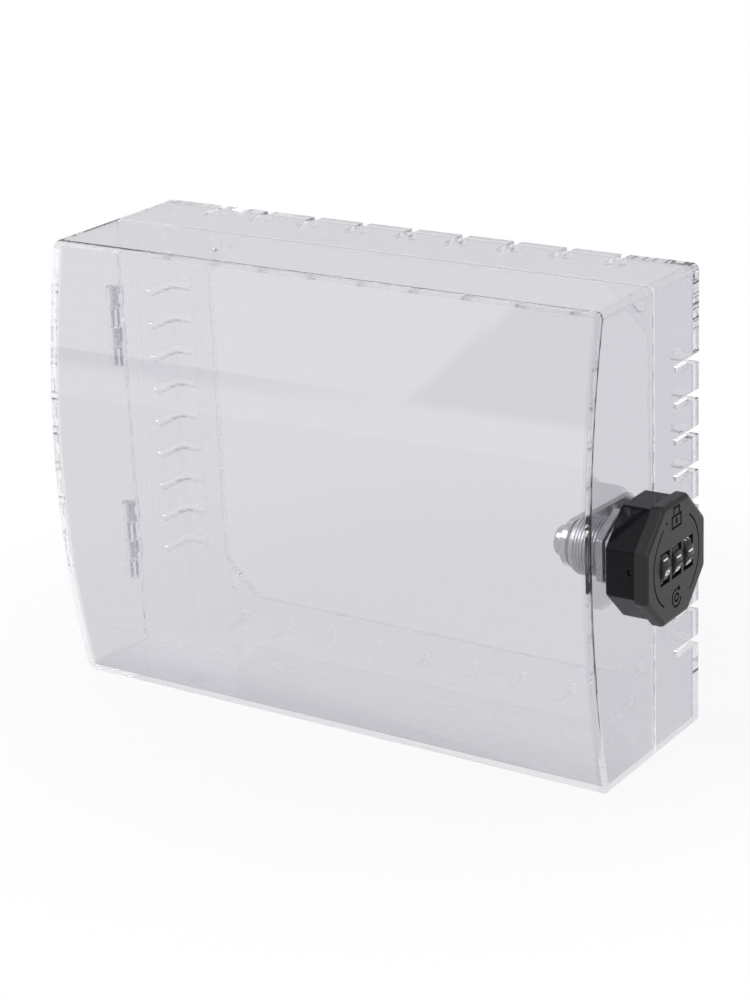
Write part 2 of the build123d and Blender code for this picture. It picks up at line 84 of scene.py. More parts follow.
class ClearBoxSizes(PropertyGroup):
    """Sizes of the clear cover and the wall frame."""

    wall: length("Wall", "Thickness of the clear walls", 0.0024)
    seam: length("Seam depth", "Distance of the seam between frame and cover from the wall", 0.029)
    seam_gap: length("Seam gap", "Gap that is seen between the two rims", 0.00016)
    # Painted light: the strip on each side of the seam that is left without the painted shade, so the seam shows as
    # a light line.
    seam_light: length("Seam light", "Width of the light line on each side of the seam", 0.00045)
    edge_depth: length("Edge depth", "Distance of the cover's front edges from the wall", 0.0595)
    bulge: length("Bulge", "How far the middle of the front stands out", 0.009)
    hinge_corner: length("Hinge side corner", "Radius of the corners at the hinges", 0.003)
    lock_corner: length("Lock side corner", "Radius of the corners at the lock", 0.002)
    inner_corner: length("Inner corner", "Radius of the corners inside", 0.0006)
    front_edge: length("Front edge", "Radius of the cover's front edge", 0.0008)
    softening: length("Edge softening", "Radius that the mould leaves on every small edge", 0.00018)
    rows: IntProperty(name="Front rows", description="Strips that the curved front is made of", default=36)
    flange_side: length("Flange side", "Width of the wall flange at the sides", 0.018)
    flange_end: length("Flange end", "Width of the wall flange at top and bottom", 0.0115)
    flange: length("Flange", "Thickness of the wall flange", 0.0024)
    opening_cut: length("Opening corner", "Chamfer of the wall opening's corners", 0.0125)
    opening_round: length("Opening rounding", "Radius between the chamfers and the sides", 0.003)
    screws_across: length("Screws across", "Spacing of the wall screws in X", 0.158)
    screws_up: length("Screws up", "Spacing of the wall screws in Z", 0.12)
    screw_hole: length("Screw hole", "Radius of the wall screw holes", 0.0022)


class VentSizes(PropertyGroup):
    """Sizes of the vent slots round the back edge."""

    count: IntProperty(name="Slots", description="Slots in each side", default=9)
    width: length("Slot width", "Width of a slot", 0.003)
    end_pitch: length("End pitch", "Pitch of the slots at top and bottom", 0.0188)
    end_run: length("End run", "How far the end slots run forward", 0.012)
    end_reach: length("End reach", "How far the end slots reach into the flange", 0.005)
    side_pitch: length("Side pitch", "Pitch of the slots at the sides", 0.0115)
    side_run: length("Side run", "How far the side slots run forward", 0.015)
    side_reach: length("Side reach", "How far the side slots reach into the flange", 0.01)


class HingeSizes(PropertyGroup):
    """Sizes of the two moulded hinges and of the keeper."""

    stand_off: length("Stand-off", "Distance of the hinge axis from the left wall", 0.0027)
    knuckle: length("Knuckle", "Radius of a knuckle", 0.0025)
    bore: length("Bore", "Radius of the knuckles' bore", 0.0013)
    pitch: length("Knuckle pitch", "Height of a knuckle with its gap", 0.0068)
    gap: length("Knuckle gap", "Gap between two knuckles", 0.0002)
    count: IntProperty(name="Knuckles", description="Knuckles in each hinge", default=4)
    height: length("Hinge height", "Distance of each hinge from the middle of the box", 0.038)
    bite: length("Leaf bite", "How far a knuckle's foot runs into the wall", 0.0006)
    keeper_height: length("Keeper height", "Height of the keeper", 0.014)
    keeper_reach: length("Keeper reach", "How far the keeper stands in from the wall", 0.0096)
    keeper_thickness: length("Keeper thickness", "Thickness of the keeper", 0.0025)
    keeper_front: length("Keeper front", "Distance of the keeper from the seam", 0.004)


class LockSizes(PropertyGroup):
    """Sizes of the cam lock outside its knob."""

    axis_y: length("Lock axis", "Y of the lock's axis", (BARREL_LOW.y + BARREL_HIGH.y) / 2)
    hex_across: length("Hex", "Width across the flats of the hex and the nut", 0.022)
    hex_edge: length("Hex edge", "Chamfer of the hex", 0.0006)
    sleeve: length("Sleeve", "Outer radius of the thread", 0.009)
    sleeve_flat: length("Sleeve flat", "Distance of the sleeve's flat from its axis", 0.0078)
    bore: length("Bore", "Radius of the sleeve's bore", 0.006)
    hole_gap: length("Hole gap", "Clearance of the sleeve in the cover's wall", 0.00015)
    pitch: length("Thread pitch", "Pitch of the thread", 0.001)
    depth: length("Thread depth", "Depth of the thread", 0.0005)
    cam_hub: length("Cam hub", "Radius of the cam's round end", 0.0073)
    cam_thickness: length("Cam thickness", "Thickness of the cam's plate", 0.002)
    cam_tip: length("Cam tip", "Half the width of the cam's tip", 0.006)
    cam_corner: length("Cam corner", "Radius of the cam's corners", 0.0015)
    flat_washer: length("Flat washer", "Radius of the flat washer", 0.0054)
    spring_washer: length("Spring washer", "Radius of the spring washer", 0.0049)
    screw_head: length("Screw head", "Radius of the cam screw's head", 0.0047)
    screw_slot: length("Screw slot", "Width of the cross in the screw's head", 0.001)


class KnobSizes(PropertyGroup):
    """Sizes of the knob, its face and its dials."""

    body_across: length("Body", "Width across the flats of the knob's body", 0.0345)
    body_wall: length("Body wall", "Thickness of the body's wall", 0.0018)
    body_floor: length("Body floor", "Thickness of the body's floor", 0.0013)
    body_edge: length("Body edge", "Rounding of the body's corners", 0.0012)
    body_back: length("Body back", "Chamfer of the body's back edge", 0.0006)
    face_across: length("Face", "Width across the flats of the face", 0.037)
    face_corner: length("Face corner", "Rounding of the face's corners", 0.0022)
    face_edge: length("Face edge", "Rounding of the face's front edge", 0.0015)
    face_back: length("Face back", "Chamfer of the face's back edge", 0.0004)
    skin: length("Face skin", "Thickness of the face round the windows", 0.001)
    window_width: length("Window width", "Width of a dial window", 0.006)
    window_height: length("Window height", "Height of a dial window", 0.01)
    window_corner: length("Window corner", "Radius of a window's corners", 0.0003)
    dial_pitch: length("Dial pitch", "Distance between two dials", 0.0073)
    dial_notch: length("Dial notch", "Depth of the notches between the digits", 0.0005)
    dial_edge: length("Dial edge", "Chamfer of a dial's two rims", 0.0003)
    dial_turns: FloatVectorProperty(
        name="Dial turns", description="Angle of digit 0 above the window's middle on each dial", size=3,
        default=(radians(-10), radians(-23), radians(-28)), subtype="EULER",
    )
    digit: length("Digit", "Height of a digit", 0.0024)
    digit_rise: length("Digit rise", "How far the digits stand up from the dial", 0.00004)
    line: length("Symbol line", "Width of the engraved symbols' lines", 0.0007)
    groove: length("Groove", "Width of the two curved lines", 0.00055)
    groove_depth: length("Groove depth", "Depth of the engraved lines", 0.0005)
    ring: length("Ring groove", "Radius of the two curved lines", 0.0142)
    ring_half: FloatProperty(
        name="Ring angle", description="Half the angle that a curved line spans", default=radians(56),
        subtype="ANGLE",
    )
    lock_level: length("Padlock height", "Height of the padlock's body over the middle", 0.0123)
    lock_wide: length("Padlock width", "Width of the padlock's body", 0.0062)
    lock_tall: length("Padlock body", "Height of the padlock's body", 0.0042)
    shackle_wide: length("Shackle width", "Width of the padlock's shackle", 0.004)
    shackle_tall: length("Shackle height", "Height of the shackle over the body", 0.0025)
    keyhole_wide: length("Keyhole width", "Width of the padlock's keyhole", 0.001)
    keyhole_tall: length("Keyhole height", "Height of the padlock's keyhole", 0.0018)
    arrow_level: length("Arrow height", "Height of the turn arrow's middle", -0.0115)
    arrow_ring: length("Arrow ring", "Radius of the turn arrow", 0.0028)
    arrow_start: FloatProperty(
        name="Arrow start", description="Angle where the turn arrow's head sits", default=radians(60),
        subtype="ANGLE",
    )
    arrow_sweep: FloatProperty(
        name="Arrow sweep", description="Angle that the turn arrow spans", default=radians(290),
        subtype="ANGLE",
    )
    arrow_head: length("Arrow head", "Radius of the turn arrow's head", 0.0012)
    arrow_hub: length("Arrow hub", "Radius of the ring inside the arrow", 0.0015)
    dot: length("Index dot", "Radius of the index dot", 0.00045)
    dot_y: length("Dot place", "Distance of the index dot from the middle, across", -0.0062)
    dot_z: length("Dot height", "Height of the index dot over the middle", 0.0134)
    reset_hole: length("Reset hole", "Radius of the reset hole", 0.00115)
    reset_x: length("Reset place", "Distance of the reset hole from the knob's back", 0.0083)
    reset_z: length("Reset height", "Height of the reset hole over the middle", 0.001)


class FinishColours(PropertyGroup):
    """Colours of the finishes and the painted shade of the clear cover."""

    # Painted shade: this grey goes in full to the cover's lock side wall and in shares to its front, top and floor
    # walls. It stands in for shade seen through the box and is not a dye of the plastic.
    smoke: colour("Smoke", "Tint of the lock side walls", (0.600, 0.590, 0.640))
    front_share: FloatProperty(name="Front tint", description="Share of the tint at front and top", default=0.77)
    floor_share: FloatProperty(name="Floor tint", description="Share of the tint at the cover's floor", default=0.5)
    clear: colour("Clear", "Tint of the other clear walls", (0.975, 0.975, 0.985))
    gloss: colour("Knob gloss", "Colour of the knob's body", (0.005, 0.005, 0.007))
    satin: colour("Knob satin", "Colour of the knob's face", (0.014, 0.014, 0.016))
    dial: colour("Dial", "Colour of the dial wheels", (0.030, 0.030, 0.032))
    digit: colour("Digit", "Colour of the digits", (0.85, 0.85, 0.84))
    zinc: colour("Zinc", "Colour of the bright zinc plate", (0.74, 0.76, 0.75))
    steel: colour("Steel", "Colour of the pins and springs", (0.78, 0.78, 0.80))
    brass: colour("Brass", "Colour of the code rings", (0.75, 0.58, 0.30))


class StudioSettings(PropertyGroup):
    """Camera, lamps and floor."""

    azimuth: FloatProperty(
        name="Azimuth", description="Camera's turn round the box", default=radians(34.2), subtype="ANGLE"
    )
    elevation: FloatProperty(
        name="Elevation", description="Camera's height angle", default=radians(19.95), subtype="ANGLE"
    )
    roll: FloatProperty(
        name="Roll", description="Camera's tilt about its view", default=radians(-2.44), subtype="ANGLE"
    )
    distance: length("Distance", "Distance of the camera from its aim", 0.879)
    aim: FloatVectorProperty(
        name="Aim", description="Point that the camera looks at", default=(-0.0202, 0.0, -0.0201),
        size=3, unit="LENGTH", subtype="TRANSLATION",
    )
    lens: FloatProperty(name="Lens", description="Focal length in millimetres", default=94.7)
    table: length("Table", "Radius of the round white table", 0.66)
    floor_colour: colour("Floor", "Colour of the table", (0.86, 0.86, 0.86))
    glow: FloatProperty(name="Glow", description="Share of plain white in the table beside the box", default=0.72)
    dim: FloatProperty(name="Dim light", description="Strength of the light from all round", default=0.62)
    room: FloatProperty(name="Room", description="Brightness of the room in reflections", default=1.3)
    behind: FloatProperty(name="Behind", description="Brightness of the room behind the box", default=0.7)
    horizon: FloatProperty(name="Horizon", description="Height of the dark line in reflections", default=-0.085)


def sizes():
    """Every group of sizes, colours and settings of the scene."""
    return bpy.context.scene.lock_box


def new_nodes(name):
    """A new material with an empty node tree and its output."""
    material = bpy.data.materials.new(name)
    material.use_nodes = True
    tree = material.node_tree
    tree.nodes.clear()
    return material, tree, tree.nodes.new("ShaderNodeOutputMaterial")


def maths(tree, operation, *values):
    """A Math node on sockets or numbers."""
    node = tree.nodes.new("ShaderNodeMath")
    node.operation = operation
    for socket, value in zip(node.inputs, values):
        if isinstance(value, bpy.types.NodeSocket):
            tree.links.new(value, socket)
        else:
            socket.default_value = value
    return node.outputs["Value"]


def between(tree, value, low, high):
    """A soft step from 0 at low to 1 at high."""
    step = tree.nodes.new("ShaderNodeMapRange")
    step.interpolation_type = "SMOOTHSTEP"
    step.inputs["From Min"].default_value = low
    step.inputs["From Max"].default_value = high
    tree.links.new(value, step.inputs["Value"])
    return step.outputs["Result"]


def object_noise(tree, scale, detail=2.0):
    """Noise over the piece's own coordinates; scale is in waves per metre."""
    place = tree.nodes.new("ShaderNodeTexCoord")
    noise = tree.nodes.new("ShaderNodeTexNoise")
    noise.inputs["Scale"].default_value = scale
    noise.inputs["Detail"].default_value = detail
    tree.links.new(place.outputs["Object"], noise.inputs["Vector"])
    return noise.outputs["Fac"]


def spread(tree, fac, low, high):
    """A value that follows the noise between two limits."""
    span = tree.nodes.new("ShaderNodeMapRange")
    span.inputs["From Min"].default_value = 0.3
    span.inputs["From Max"].default_value = 0.7
    span.inputs["To Min"].default_value = low
    span.inputs["To Max"].default_value = high
    tree.links.new(fac, span.inputs["Value"])
    return span.outputs["Result"]


def tinted(tree, fac, shade, share):
    """The colour, darker by up to a share of itself where the noise is low."""
    ramp = tree.nodes.new("ShaderNodeValToRGB")
    dark = [channel * (1 - share) for channel in shade]
    ramp.color_ramp.elements[0].position = 0.3
    ramp.color_ramp.elements[0].color = (*dark, 1)
    ramp.color_ramp.elements[1].position = 0.7
    ramp.color_ramp.elements[1].color = (*shade, 1)
    tree.links.new(fac, ramp.inputs["Fac"])
    return ramp.outputs["Color"]


def bumped(tree, shader, fac, depth):
    """Give the shader a relief of the noise, its depth in metres."""
    bump = tree.nodes.new("ShaderNodeBump")
    bump.inputs["Strength"].default_value = 1.0
    bump.inputs["Distance"].default_value = depth
    tree.links.new(fac, bump.inputs["Height"])
    tree.links.new(bump.outputs["Normal"], shader.inputs["Normal"])


def clear_plastic():
    """Clear moulded plastic: polished, faintly wavy, and lamps shine through it, with painted shade on the cover's
    front, top, lock side and floor walls and a painted light line along the seam.
    """
    box, shades = sizes().box, sizes().finishes
    material, tree, output = new_nodes("polished_clear")
    shader = tree.nodes.new("ShaderNodeBsdfPrincipled")
    shader.inputs["Transmission Weight"].default_value = 1.0
    shader.inputs["IOR"].default_value = 1.58
    place = tree.nodes.new("ShaderNodeTexCoord")
    axes = tree.nodes.new("ShaderNodeSeparateXYZ")
    tree.links.new(place.outputs["Object"], axes.inputs["Vector"])
    # Painted shade: masks of the cover's front, top, lock side and floor walls, which take the grey tint in place
    # of the shade seen through the box.
    skin = box.wall * 1.2
    front = maths(tree, "LESS_THAN", axes.outputs["Y"], skin - box.edge_depth)
    front = maths(tree, "MULTIPLY", front, maths(tree, "GREATER_THAN", axes.outputs["X"], skin - COVER_HIGH.x))
    side = maths(tree, "GREATER_THAN", axes.outputs["X"], COVER_HIGH.x - skin)
    top = maths(tree, "GREATER_THAN", axes.outputs["Z"], COVER_HIGH.z - skin)
    # Painted light: along the seam the side and top walls are left without the painted shade, so the seam shows as
    # a light line.
    from_seam = maths(tree, "ABSOLUTE", maths(tree, "ADD", axes.outputs["Y"], box.seam))
    walls = maths(tree, "MAXIMUM", side, maths(tree, "MULTIPLY", top, shades.front_share))
    walls = maths(tree, "MULTIPLY", walls, maths(tree, "GREATER_THAN", from_seam, box.seam_light))
    # Painted shade on the cover's floor, darker towards the front.
    floor = maths(tree, "LESS_THAN", axes.outputs["Z"], skin - COVER_HIGH.z)
    floor = maths(tree, "MULTIPLY", floor, between(tree, axes.outputs["Y"], -box.seam, -box.edge_depth))
    walls = maths(tree, "MAXIMUM", walls, maths(tree, "MULTIPLY", floor, shades.floor_share))
    front = maths(tree, "MULTIPLY", front, shades.front_share)
    painted_shade_mix = tree.nodes.new("ShaderNodeMix")
    painted_shade_mix.data_type = "RGBA"
    painted_shade_mix.inputs["A"].default_value = (*shades.clear, 1)
    painted_shade_mix.inputs["B"].default_value = (*shades.smoke, 1)
    tree.links.new(maths(tree, "MAXIMUM", front, walls), painted_shade_mix.inputs["Factor"])
    tree.links.new(painted_shade_mix.outputs["Result"], shader.inputs["Base Color"])
    tree.links.new(spread(tree, object_noise(tree, 900.0), 0.0, 0.02), shader.inputs["Roughness"])
    bumped(tree, shader, object_noise(tree, 22.0), 0.00005)
    passing = tree.nodes.new("ShaderNodeBsdfTransparent")
    passing.inputs["Color"].default_value = (*[sqrt(channel) for channel in shades.clear], 1)
    path = tree.nodes.new("ShaderNodeLightPath")
    either = maths(tree, "MAXIMUM", path.outputs["Is Shadow Ray"], path.outputs["Is Diffuse Ray"])
    mix = tree.nodes.new("ShaderNodeMixShader")
    tree.links.new(either, mix.inputs["Fac"])
    tree.links.new(shader.outputs["BSDF"], mix.inputs[1])
    tree.links.new(passing.outputs["BSDF"], mix.inputs[2])
    tree.links.new(mix.outputs["Shader"], output.inputs["Surface"])
    return material


def plastic(name, shade, roughness, grain, depth, gloss=0.5):
    """Moulded opaque plastic with a fine grain."""
    material, tree, output = new_nodes(name)
    shader = tree.nodes.new("ShaderNodeBsdfPrincipled")
    shader.inputs["IOR"].default_value = 1.5
    shader.inputs["Specular IOR Level"].default_value = gloss
    fine = object_noise(tree, grain)
    tree.links.new(tinted(tree, object_noise(tree, 120.0), shade, 0.12), shader.inputs["Base Color"])
    tree.links.new(spread(tree, fine, roughness * 0.85, roughness * 1.15), shader.inputs["Roughness"])
    bumped(tree, shader, fine, depth)
    tree.links.new(shader.outputs["BSDF"], output.inputs["Surface"])
    return material


def metal(name, shade, roughness, grain, depth, share=0.1):
    """Bare or plated metal, a little uneven in colour and shine."""
    material, tree, output = new_nodes(name)
    shader = tree.nodes.new("ShaderNodeBsdfPrincipled")
    shader.inputs["Metallic"].default_value = 1.0
    fine = object_noise(tree, grain, 4.0)
    tree.links.new(tinted(tree, object_noise(tree, 300.0), shade, share), shader.inputs["Base Color"])
    tree.links.new(spread(tree, fine, roughness * 0.7, roughness * 1.3), shader.inputs["Roughness"])
    bumped(tree, shader, fine, depth)
    tree.links.new(shader.outputs["BSDF"], output.inputs["Surface"])
    return material


def finish(name):
    """The material of that name, made when it is first asked for."""
    if name in bpy.data.materials:
        return bpy.data.materials[name]
    shades = sizes().finishes
    makers = {
        "polished_clear": clear_plastic,
        "glossy_black": lambda: plastic("glossy_black", shades.gloss, 0.1, 500.0, 0.00001, 0.12),
        "satin_charcoal": lambda: plastic("satin_charcoal", shades.satin, 0.34, 2500.0, 0.00001, 0.25),
        "dial_plastic": lambda: plastic("dial_plastic", shades.dial, 0.3, 2500.0, 0.00001, 0.3),
        "digit_white": lambda: plastic("digit_white", shades.digit, 0.4, 3000.0, 0.000005),
        "zinc_bright": lambda: metal("zinc_bright", shades.zinc, 0.22, 900.0, 0.00001),
        "zinc_cast": lambda: metal("zinc_cast", shades.zinc, 0.38, 1800.0, 0.00008, 0.25),
        "bright_steel": lambda: metal("bright_steel", shades.steel, 0.25, 1500.0, 0.000005),
        "turned_brass": lambda: metal("turned_brass", shades.brass, 0.3, 1500.0, 0.000005),
    }
    return makers[name]()


def outward(bm):
    """Merge doubles and point every face outwards."""
    bmesh.ops.remove_doubles(bm, verts=bm.verts, dist=1e-7)
    bmesh.ops.recalc_face_normals(bm, faces=bm.faces)
    return bm


def combined(bm, tool, operation):
    """Cut the tool's solids out of the mesh, or join them to it."""
    works = []
    for part in (outward(bm), outward(tool)):
        mesh = bpy.data.meshes.new("work")
        part.to_mesh(mesh)
        work = bpy.data.objects.new("work", mesh)
        bpy.context.scene.collection.objects.link(work)
        works.append(work)
    cut = works[0].modifiers.new("cut", "BOOLEAN")
    cut.operation = operation
    cut.solver = "EXACT"
    cut.object = works[1]
    bm.clear()
    bm.from_object(works[0], bpy.context.evaluated_depsgraph_get())
    tool.free()
    for work in works:
        bpy.data.meshes.remove(work.data)
    return bm


def make_piece(bm, name, material, smooth=32.0):
    """The finished mesh as an object, shaded smooth up to an angle in degrees."""
    outward(bm)
    mesh = bpy.data.meshes.new(name)
    bm.to_mesh(mesh)
    bm.free()
    mesh.shade_smooth()
    mesh.set_sharp_from_angle(angle=radians(smooth))
    mesh.materials.append(finish(material))
    piece = bpy.data.objects.new(name, mesh)
    bpy.context.scene.collection.objects.link(piece)
    return piece


def soften(piece, width, segments=2, angle=35.0):
    """Round the small edges of a finished piece."""
    bevel = piece.modifiers.new("edges", "BEVEL")
    bevel.width = width
    bevel.segments = segments
    bevel.limit_method = "ANGLE"
    bevel.angle_limit = radians(angle)
    bevel.miter_outer = "MITER_ARC"
    normals = piece.modifiers.new("normals", "WEIGHTED_NORMAL")
    normals.weight = 100
    normals.keep_sharp = True
    return piece


def seat(piece, body, slot, *nodes):
    """Tie a finished piece to its body and hide the nodes that it stands for; the slot is not used."""
    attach(piece, body)
    if nodes:
        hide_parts(*nodes)
    return piece


def draw_out(bm, verts, way):
    """Draw the flat shape of these corners out into a solid."""
    faces = list({face for vert in verts for face in vert.link_faces})
    made = bmesh.ops.extrude_face_region(bm, geom=faces)
    moved = [item for item in made["geom"] if isinstance(item, bmesh.types.BMVert)]
    bmesh.ops.translate(bm, verts=moved, vec=way)


def edges_along(bm, axis, side=None, reach=0.0):
    """Edges that run along an axis, all of them or those on one side of X = 0."""
    chosen = []
    for edge in bm.edges:
        way = (edge.verts[1].co - edge.verts[0].co).normalized()
        middle = (edge.verts[0].co + edge.verts[1].co) / 2
        if abs(way[axis]) > 0.999 and (side is None or middle.x * side > reach):
            chosen.append(edge)
    return chosen


def round_edges(bm, edges, width, segments):
    """Bevel these edges to a round."""
    bmesh.ops.bevel(
        bm, geom=edges, offset=width, segments=segments, profile=0.5, affect="EDGES", material=-1,
        clamp_overlap=False,
    )


def add_block(bm, low, high):
    """A plain block between two corners."""
    low, high = Vector(low), Vector(high)
    place = Matrix.Translation((low + high) / 2) @ Matrix.Diagonal((*(high - low), 1))
    return bmesh.ops.create_cube(bm, size=1.0, matrix=place)["verts"]


def add_disc(bm, radius, segments, place, end):
    """A round bar: a disc set by its matrix and drawn out by a way."""
    made = bmesh.ops.create_circle(bm, cap_ends=True, segments=segments, radius=radius, matrix=place)
    draw_out(bm, made["verts"], end)
    return made["verts"]


def add_prism(bm, across, count, start, end):
    """A prism about the lock's axis with a flat to the front, between two X."""
    turn = Matrix.Rotation(pi / count, 4, "Z")
    place = Matrix.Translation((start, 0, 0)) @ ALONG_LOCK @ turn
    add_disc(bm, across / 2 / cos(pi / count), count, place, (end - start, 0, 0))


def add_bar(bm, radius, start, end, middle=(0.0, 0.0), segments=48):
    """A round bar along the lock's axis, between two X."""
    place = Matrix.Translation((start, *middle)) @ ALONG_LOCK
    add_disc(bm, radius, segments, place, (end - start, 0, 0))


def add_ring(bm, radius, x, middle=(0.0, 0.0), segments=48):
    """An open ring of corners across the lock's axis."""
    place = Matrix.Translation((x, *middle)) @ ALONG_LOCK
    bmesh.ops.create_circle(bm, cap_ends=False, segments=segments, radius=radius, matrix=place)


def add_turned(bm, profile, angle=2 * pi, steps=64):
    """A body turned about the lock's axis from (x, radius) corners."""
    verts = [bm.verts.new((x, radius, 0)) for x, radius in profile]
    face = bm.faces.new(verts)
    whole = angle > 2 * pi - 0.001
    geom = verts + list(face.edges) + ([] if whole else [face])
    if whole:
        bm.faces.remove(face)
    bmesh.ops.spin(
        bm, geom=geom, cent=(0, 0, 0), axis=(1, 0, 0), angle=angle, steps=steps, use_merge=whole
    )


def add_slot(bm, width, run, place, end):
    """A slot's solid: a disc stretched along its own y, set by its matrix and drawn out by a way."""
    made = bmesh.ops.create_circle(bm, cap_ends=True, segments=24, radius=width / 2)
    for vert in made["verts"]:
        vert.co.y += (run - width) / 2 if vert.co.y > 0 else -(run - width) / 2
    bmesh.ops.transform(bm, matrix=place, verts=made["verts"])
    draw_out(bm, made["verts"], end)


def add_arc(bm, radius, width, start, sweep, x, depth, middle=(0.0, 0.0)):
    """A curved bar of square section about a point of the knob's face, angles in radians from +Y to +Z."""
    low, high = radius - width / 2, radius + width / 2
    corners = [(x, low), (x, high), (x - depth, high), (x - depth, low)]
    verts = [bm.verts.new((at, r * cos(start), r * sin(start))) for at, r in corners]
    face = bm.faces.new(verts)
    made = bmesh.ops.spin(
        bm, geom=verts + list(face.edges) + [face], cent=(0, 0, 0), axis=(1, 0, 0), angle=sweep, steps=28
    )
    linked = set(verts)
    grown = True
    while grown:
        grown = False
        for vert in list(linked):
            for edge in vert.link_edges:
                other = edge.other_vert(vert)
                if other not in linked:
                    linked.add(other)
                    grown = True
    bmesh.ops.translate(bm, verts=list(linked), vec=(0, *middle))
    return made


def to_lock(bm):
    """Move a mesh made about the X axis onto the lock's axis."""
    bmesh.ops.translate(bm, verts=bm.verts, vec=(0, sizes().lock.axis_y, 0))
    return bm


def box_block(inset, back, front):
    """Block with the box's rounded corners, drawn in by the inset, between two Y."""
    s = sizes().box
    bm = bmesh.new()
    half_x, half_z = COVER_HIGH.x - inset, COVER_HIGH.z - inset
    add_block(bm, (-half_x, front, -half_z), (half_x, back, half_z))
    round_edges(bm, edges_along(bm, 1, side=-1), max(s.hinge_corner - inset, s.inner_corner), 8)
    round_edges(bm, edges_along(bm, 1, side=1), max(s.lock_corner - inset, s.inner_corner), 8)
    return bm


def bulged_block(inset, back):
    """The box's block with the curved front of the cover."""
    s = sizes().box
    half_z = COVER_HIGH.z
    radius = (half_z**2 + s.bulge**2) / (2 * s.bulge)
    centre = radius - s.edge_depth - s.bulge
    front = -s.edge_depth
    bm = box_block(inset, back, front)
    for row in range(1, s.rows):
        level = (2 * row / s.rows - 1) * half_z
        geom = list(bm.verts) + list(bm.edges) + list(bm.faces)
        bmesh.ops.bisect_plane(bm, geom=geom, dist=1e-7, plane_co=(0, 0, level), plane_no=(0, 0, 1))
    for vert in bm.verts:
        if vert.co.y < front + 1e-6:
            vert.co.y = centre - sqrt((radius - inset) ** 2 - vert.co.z**2)
    return bm


def front_rim(bm):
    """Edges between the curved front and the sides of the cover."""
    chosen = []
    for edge in bm.edges:
        if len(edge.link_faces) == 2:
            ways = sorted(abs(face.normal.y) for face in edge.link_faces)
            if ways[0] < 0.1 and ways[1] > 0.9 and edge.link_faces[0].calc_center_median().y < -0.03:
                chosen.append(edge)
    return chosen


def add_knuckles(bm, first, side):
    """Join every second knuckle of both hinges to a wall, with feet to the base (1) or the cover (-1)."""
    s, hinge = sizes().box, sizes().hinge
    axis_x, axis_y = -COVER_HIGH.x - hinge.stand_off, -s.seam
    tall = hinge.pitch - hinge.gap
    for middle in (hinge.height, -hinge.height):
        for index in range(first, hinge.count, 2):
            low = middle + hinge.pitch * (hinge.count / 2 - index - 1) + hinge.gap / 2
            foot = bmesh.new()
            near, far = sorted((axis_y, axis_y + side * hinge.knuckle))
            add_block(foot, (axis_x, near, low), (-COVER_HIGH.x + hinge.bite, far, low + tall))
            eye = bmesh.new()
            add_disc(eye, hinge.knuckle, 40, Matrix.Translation((axis_x, axis_y, low)), (0, 0, tall))
            combined(foot, eye, "UNION")
            combined(bm, foot, "UNION")
    bores = bmesh.new()
    reach = hinge.pitch * hinge.count
    for middle in (hinge.height, -hinge.height):
        place = Matrix.Translation((axis_x, axis_y, middle - reach))
        add_disc(bores, hinge.bore, 32, place, (0, 0, 2 * reach))
    combined(bm, bores, "DIFFERENCE")


class LOCKBOX_OT_front_cover(Operator):
    """Build the clear bulged cover with its knuckles and the lock's hole"""

    bl_idname = "lockbox.front_cover"
    bl_label = "Front Cover"

    def execute(self, context):
        s, lock = sizes().box, sizes().lock
        seam = -s.seam - s.seam_gap / 2
        shell = bulged_block(0.0, seam)
        outward(shell)
        round_edges(shell, front_rim(shell), s.front_edge, 4)
        combined(shell, bulged_block(s.wall, seam + s.wall), "DIFFERENCE")
        hole = bmesh.new()
        radius = lock.sleeve + lock.hole_gap
        add_bar(hole, radius, COVER_HIGH.x - 2 * s.wall, COVER_HIGH.x + s.wall, segments=64)
        flat = -lock.sleeve_flat - lock.hole_gap
        for vert in hole.verts:
            vert.co.z = max(vert.co.z, flat)
        combined(shell, to_lock(hole), "DIFFERENCE")
        add_knuckles(shell, 1, -1)
        piece = soften(make_piece(shell, "cover_shell", "polished_clear"), s.softening)
        seat(piece, "cover", "clear_plastic", "front_cover")
        return {"FINISHED"}


